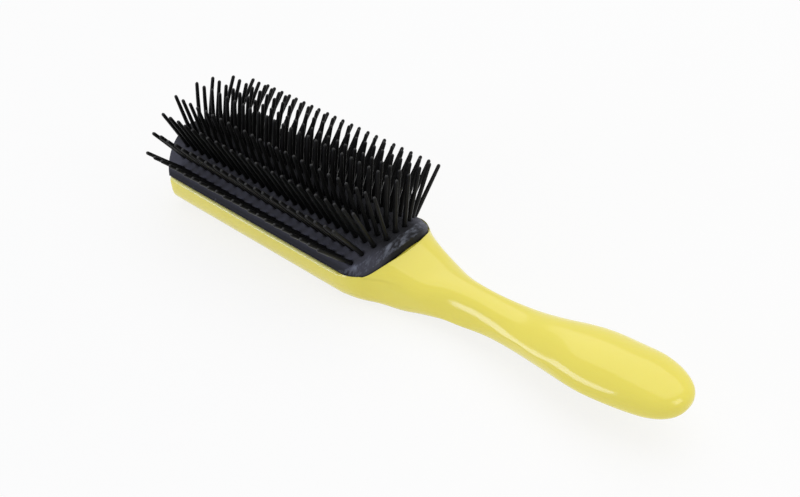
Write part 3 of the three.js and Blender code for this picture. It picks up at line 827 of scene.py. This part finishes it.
class Graph:
    """Node tree of a material or world, built from calls to node."""

    def __init__(self, owner):
        owner.use_nodes = True
        self.tree = owner.node_tree
        self.tree.nodes.clear()

    def node(self, kind, settings=None, sockets=None, output=0):
        """Adds a node: its settings first (a ramp's stops as 'stops'), then its sockets."""
        made = self.tree.nodes.new(kind)
        for name, value in (settings or {}).items():
            if name == "stops":
                self.set_stops(made.color_ramp, value)
            else:
                setattr(made, name, value)
        for name, value in (sockets or {}).items():
            if isinstance(value, Value):
                self.tree.links.new(value.socket, made.inputs[name])
            else:
                made.inputs[name].default_value = value
        return Value(self, made.outputs[output]) if made.outputs else made

    @staticmethod
    def set_stops(ramp, stops):
        """Puts grey stops, each a place and a value, in the place of a ramp's own."""
        while len(ramp.elements) > 1:
            ramp.elements.remove(ramp.elements[-1])
        for i, (place, value) in enumerate(stops):
            stop = ramp.elements[0] if i == 0 else ramp.elements.new(place)
            stop.position = place
            stop.color = (value, value, value, 1)

    def noise(self, vector, scale, detail=2.0, roughness=0.5):
        """Noise in three dimensions, from 0 to 1."""
        sockets = {"Vector": vector, "Scale": scale, "Detail": detail, "Roughness": roughness}
        return self.node("ShaderNodeTexNoise", {"noise_dimensions": "3D"}, sockets)

    def ramp(self, value, *stops):
        """The value led through stops, each a place and a value."""
        return self.node("ShaderNodeValToRGB", {"stops": stops}, {"Fac": value})

    def mix(self, factor, first, second):
        """A blend of two colours."""
        sockets = {0: factor, 6: first, 7: second}
        return self.node("ShaderNodeMix", {"data_type": "RGBA"}, sockets, output=2)

    def bump(self, height, strength, distance):
        """A normal tilted by a height."""
        sockets = {"Strength": strength, "Distance": distance, "Height": height}
        return self.node("ShaderNodeBump", None, sockets)

    def surface(self, **sockets):
        """The material's shader, with spaces for the underscores in the names of its sockets."""
        names = {name.replace("_", " "): value for name, value in sockets.items()}
        shader = self.node("ShaderNodeBsdfPrincipled", None, names)
        self.node("ShaderNodeOutputMaterial", None, {"Surface": shader})


def rgba(value, gain=1.0):
    """A colour as four numbers."""
    return (*(min(1.0, part * gain) for part in value), 1.0)


def new_material(name):
    """An empty node material and its graph."""
    material = bpy.data.materials.new(name)
    return material, Graph(material)


def object_coordinates(g, scale=(1, 1, 1)):
    """Object coordinates, stretched along the axes."""
    place = g.node("ShaderNodeTexCoord", output=3)
    return g.node("ShaderNodeMapping", None, {"Vector": place, "Scale": scale})


def glossy_plastic(colours):
    """Moulded glossy plastic: faint cloudiness in the colour, fine hairlines and a soft ripple,
    and a painted highlight: a pale line along the edge of the head's rim."""
    material, g = new_material("glossy_plastic")
    place = object_coordinates(g)
    cloud = g.noise(place, scale=28, detail=3)
    grain = g.noise(place, scale=900, detail=2)
    hairline = g.noise(object_coordinates(g, (60, 900, 900)), scale=1.0, detail=3, roughness=0.65)
    tone = g.mix(cloud, rgba(colours.plastic, 0.95), rgba(colours.plastic, 1.04))
    along, height = (g.node("ShaderNodeSeparateXYZ", None, {0: place}, output=axis) for axis in "XZ")
    # Painted highlight: a pale line on the head, at the height of the rim's rounded edge
    on_head = g.ramp(along * -PER_50_MM, (0.20, 0), (0.34, 1))
    edge = g.ramp(height * PER_25_MM, (0.520, 0), (0.545, 1)) * on_head
    tone = g.mix(edge * 0.75, tone, rgba(colours.edge))
    rough = 0.10 + cloud * 0.05 + g.ramp(hairline, (0.55, 0), (0.72, 1)) * 0.05
    ripple = g.bump(cloud * 0.6 + grain * 0.02, strength=0.03, distance=0.0006)
    g.surface(Base_Color=tone, Roughness=rough, Normal=ripple, IOR=1.5,
              Subsurface_Weight=0.08, Subsurface_Radius=(0.004, 0.003, 0.001), Subsurface_Scale=0.6)
    return material


def matt_rubber(colours):
    """Charcoal rubber: fine grain, a band of painted light to each side of a middle darkened as
    painted shade, pale streaks of rubbing where the point attribute is high, and walls darkened as
    painted shade where it is negative."""
    material, g = new_material("matt_rubber")
    place = object_coordinates(g)
    wear_and_painted_light = g.node("ShaderNodeAttribute", {"attribute_name": "wear_and_painted_light"}, None, output="Fac")
    cloud = g.noise(place, scale=140, detail=4, roughness=0.6)
    lines = g.noise(object_coordinates(g, (1300, 300, 600)), scale=1.0, detail=4, roughness=0.7)
    streak = g.ramp(lines, (0.36, 0), (0.66, 1))
    speck = g.noise(place, scale=900, detail=3, roughness=0.6)
    rubbed_and_highlit = g.ramp(wear_and_painted_light * 0.25 + streak * 0.22 + cloud * 0.15, (0.40, 0), (0.64, 1))
    dust = g.ramp(cloud, (0.45, 0), (0.75, 1)) * 0.12 + g.ramp(speck, (0.58, 0), (0.8, 1)) * 0.08
    across = g.node("ShaderNodeSeparateXYZ", None, {0: place}, output="Y")
    off_middle = across.math("ABSOLUTE", across) * PER_20_MM
    # Painted light: a lighter band to each side of the middle, over the outer rows
    painted_light_band = g.ramp(off_middle, (0.36, 0), (0.60, 1), (0.86, 1), (0.93, 0))
    # Painted shade: the middle, deep among the pins, at half the rubber's colour
    outwards = g.ramp(off_middle, (0.2, 0), (0.55, 1))
    painted_shade_middle = g.mix(outwards, rgba(colours.rubber, 0.5), rgba(colours.rubber))
    # Random dust specks, and the painted light of the band, make the rubber paler
    tone = g.mix(dust + painted_light_band * (0.3 + cloud * 0.85), painted_shade_middle, rgba(colours.rubber, 5.0))
    tone = g.mix(rubbed_and_highlit * 0.8, tone, rgba(colours.scuff))
    # Painted shade: where the attribute is -1, on the pad's walls, the rubber darkens to a fifth
    tone = g.mix(g.ramp(wear_and_painted_light + 1.0, (0.0, 1), (0.9, 0)), tone, rgba(colours.rubber, 0.2))
    rough = 0.55 + cloud * 0.2 - rubbed_and_highlit * 0.08
    skin = g.bump(speck * 0.5 + cloud * 0.5, strength=0.3, distance=0.0002)
    g.surface(Base_Color=tone, Roughness=rough, Normal=skin, IOR=1.5, Specular_IOR_Level=0.15)
    return material


def black_nylon(colours):
    """Black moulded nylon: a satin sheen, slightly clouded, and paler at the tips as a painted
    highlight.
    """
    material, g = new_material("black_nylon")
    place = object_coordinates(g)
    cloud = g.noise(place, scale=240, detail=3, roughness=0.6)
    speck = g.noise(place, scale=1500, detail=2)
    patches = g.ramp(cloud, (0.4, 0), (0.75, 1))
    tone = g.mix(patches, rgba(colours.nylon), rgba(colours.nylon, 2.0))
    wear_and_painted_light = g.node("ShaderNodeAttribute", {"attribute_name": "wear_and_painted_light"}, None, output="Fac")
    # Painted highlight: the tips turn paler, towards grey
    tone = g.mix(wear_and_painted_light, tone, rgba(colours.nylon, 9.0))
    rough = 0.3 + cloud * 0.18
    skin = g.bump(speck, strength=0.12, distance=0.0001)
    g.surface(Base_Color=tone, Roughness=rough, Normal=skin, IOR=1.5, Specular_IOR_Level=0.13)
    return material


def pale_floor(colours):
    """Matt floor that shows as the white backdrop to the camera and in reflections, apart from
    the shadow that lies on it."""
    material, g = new_material("pale_floor")
    place = g.node("ShaderNodeTexCoord", output=3)
    cloud = g.noise(place, scale=30, detail=2)
    tone = g.mix(cloud, rgba(colours.floor, 0.99), rgba(colours.floor, 1.01))
    matt = g.node("ShaderNodeBsdfDiffuse", None, {"Color": tone})
    white = g.node("ShaderNodeEmission", None, {"Color": (1, 1, 1, 1), "Strength": 1.0})
    seen = backdrop_rays(g) * FLOOR_WHITENESS
    both = g.node("ShaderNodeMixShader", None, {0: seen, 1: matt, 2: white})
    g.node("ShaderNodeOutputMaterial", None, {"Surface": both})
    return material


def backdrop_rays(g):
    """One for the rays that see the backdrop: camera, glossy and transmission rays."""
    camera, glossy, passing = (
        g.node("ShaderNodeLightPath", output=name)
        for name in ("Is Camera Ray", "Is Glossy Ray", "Is Transmission Ray")
    )
    return camera.math("MAXIMUM", camera.math("MAXIMUM", camera, glossy), passing)


class BRUSH_OT_handle(Operator):
    """Build the handle with its head, rim, channels and deck"""

    bl_idname = "brush.handle"
    bl_label = "Handle"

    def execute(self, context):
        s = measures(context.scene)
        piece = show("handle_moulding", handle_mesh(s), glossy_plastic(context.scene.brush_colours))
        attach(piece, "handle")
        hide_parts("handle")
        return {"FINISHED"}


class BRUSH_OT_pad(Operator):
    """Build the rubber pad with its sockets, legs and feet"""

    bl_idname = "brush.pad"
    bl_label = "Rubber pad"

    def execute(self, context):
        s = measures(context.scene)
        piece = show("rubber_pad", pad_mesh(s), matt_rubber(context.scene.brush_colours))
        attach(piece, "pad")
        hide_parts("cushion_pad")
        return {"FINISHED"}


class BRUSH_OT_pins(Operator):
    """Build every row of pins on its bar"""

    bl_idname = "brush.pins"
    bl_label = "Pin rows"

    def execute(self, context):
        s = measures(context.scene)
        nylon = black_nylon(context.scene.brush_colours)
        for row in range(len(PIN_COUNTS)):
            piece = show(f"pins_{row + 1}", pin_row_mesh(row, s), nylon)
            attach(piece, f"row_{row + 1}")
            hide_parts(f"pin_row_{row + 1}")
        return {"FINISHED"}


def area_light(name, place, target, upright, size, watts, tint):
    """A rectangular lamp at a place, turned to its target, its height along the upright."""
    lamp = bpy.data.lights.new(name, "AREA")
    lamp.shape, lamp.size, lamp.size_y = "RECTANGLE", *size
    lamp.energy, lamp.color = watts, tint
    item = bpy.data.objects.new(name, lamp)
    bpy.context.scene.collection.objects.link(item)
    forward = np.array(target, float) - np.array(place, float)
    forward /= np.linalg.norm(forward)
    side = np.cross(forward, upright)
    side /= np.linalg.norm(side)
    up = np.cross(side, forward)
    turn = Matrix(np.column_stack([side, up, -forward]).tolist()).to_4x4()
    item.matrix_world = Matrix.Translation(place) @ turn


class BRUSH_OT_stage(Operator):
    """Build the floor, the soft studio light and the camera at the photograph's angle"""

    bl_idname = "brush.stage"
    bl_label = "Stage"

    def execute(self, context):
        scene = context.scene
        signs = ((-1, -1), (1, -1), (1, 1), (-1, 1))
        corners = [(x * FLOOR_HALF, y * FLOOR_HALF, FLOOR_Z) for x, y in signs]
        mesh = bpy.data.meshes.new("floor")
        mesh.from_pydata(corners, [], [(0, 1, 2, 3)])
        floor = show("floor", mesh, pale_floor(scene.brush_colours))

        world = bpy.data.worlds.new("studio")
        g = Graph(world)
        soft, white = (
            g.node("ShaderNodeBackground", None, {"Color": (1, 1, 1, 1), "Strength": strength})
            for strength in (SOFT_LIGHT, 1.0)
        )
        both = g.node("ShaderNodeMixShader", None, {0: backdrop_rays(g), 1: soft, 2: white})
        g.node("ShaderNodeOutputWorld", None, {"Surface": both})
        scene.world = world
        for lamp in LAMPS:
            area_light(*lamp)

        camera = bpy.data.cameras.new("camera")
        camera.sensor_width, camera.lens = SENSOR_WIDTH, SENSOR_WIDTH * FOCAL_PIXELS / PHOTO_PIXELS
        camera.clip_start, camera.clip_end = 0.01, 20
        item = bpy.data.objects.new("camera", camera)
        scene.collection.objects.link(item)
        turn = Matrix(np.column_stack([CAMERA_RIGHT, CAMERA_UP, CAMERA_BACK]).tolist()).to_4x4()
        item.matrix_world = Matrix.Translation(CAMERA_PLACE) @ turn
        scene.camera = item
        scene.view_settings.view_transform = "Standard"
        return {"FINISHED"}


class BRUSH_PT_panel(Panel):
    """Sizes, colours and build steps of the brush"""

    bl_idname = "BRUSH_PT_panel"
    bl_label = "Hair styling brush"
    bl_space_type = "VIEW_3D"
    bl_region_type = "UI"
    bl_category = "Brush"

    def draw(self, context):
        for group in (context.scene.brush_sizes, context.scene.brush_colours):
            column = self.layout.column()
            for name in type(group).__annotations__:
                column.prop(group, name)
        for step in STEPS:
            self.layout.operator(step.bl_idname)


STEPS = (BRUSH_OT_handle, BRUSH_OT_pad, BRUSH_OT_pins, BRUSH_OT_stage)
CLASSES = (BrushSizes, BrushColours, *STEPS, BRUSH_PT_panel)


def register():
    """Adds the classes and the scene's properties."""
    for item in CLASSES:
        bpy.utils.register_class(item)
    bpy.types.Scene.brush_sizes = PointerProperty(type=BrushSizes)
    bpy.types.Scene.brush_colours = PointerProperty(type=BrushColours)


def unregister():
    """Removes what register added."""
    del bpy.types.Scene.brush_colours
    del bpy.types.Scene.brush_sizes
    for item in reversed(CLASSES):
        bpy.utils.unregister_class(item)


def main():
    """Builds every piece and the stage."""
    register()
    bpy.ops.brush.handle()
    bpy.ops.brush.pad()
    bpy.ops.brush.pins()
    bpy.ops.brush.stage()


if __name__ == "__main__":
    main()
